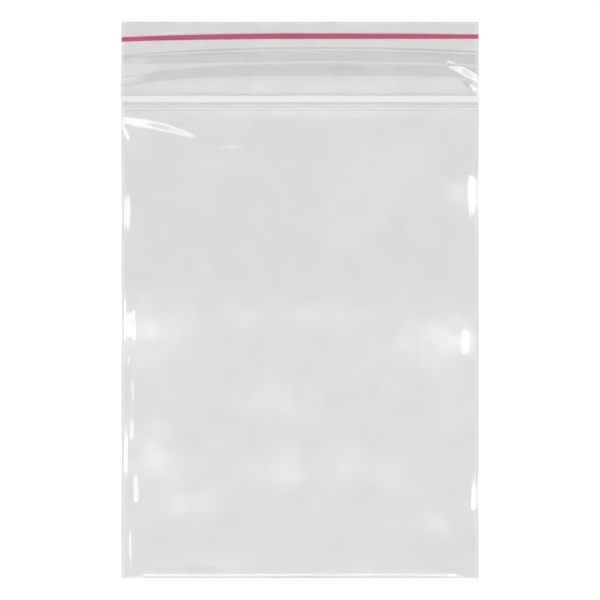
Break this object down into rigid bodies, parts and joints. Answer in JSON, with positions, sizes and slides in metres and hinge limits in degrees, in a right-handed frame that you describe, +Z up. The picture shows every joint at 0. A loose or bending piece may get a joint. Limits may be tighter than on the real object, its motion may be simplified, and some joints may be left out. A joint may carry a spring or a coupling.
{
  "type": "zipper bag",
  "caption": "Small clear plastic film bag, flat and empty, with a press-seal zipper below a coloured line on its lip, welded sides and a folded bottom.",
  "frame": {"origin": "bottom centre of the flat bag's box: the middle of the back wall, on the surface that the bag lies on", "axes": "+X across the bag, +Y from the bottom fold towards the mouth, +Z up out of the front wall, which has the coloured line"},
  "size_m": [0.06, 0.0936, 0.001],
  "materials": {
    "clear_film": "gloss",
    "stripe_colour": "satin"
  },
  "bodies": {
    "root": {"film_bag": "clear_film", "lip_stripe": "stripe_colour"}
  },
  "joints": []
}
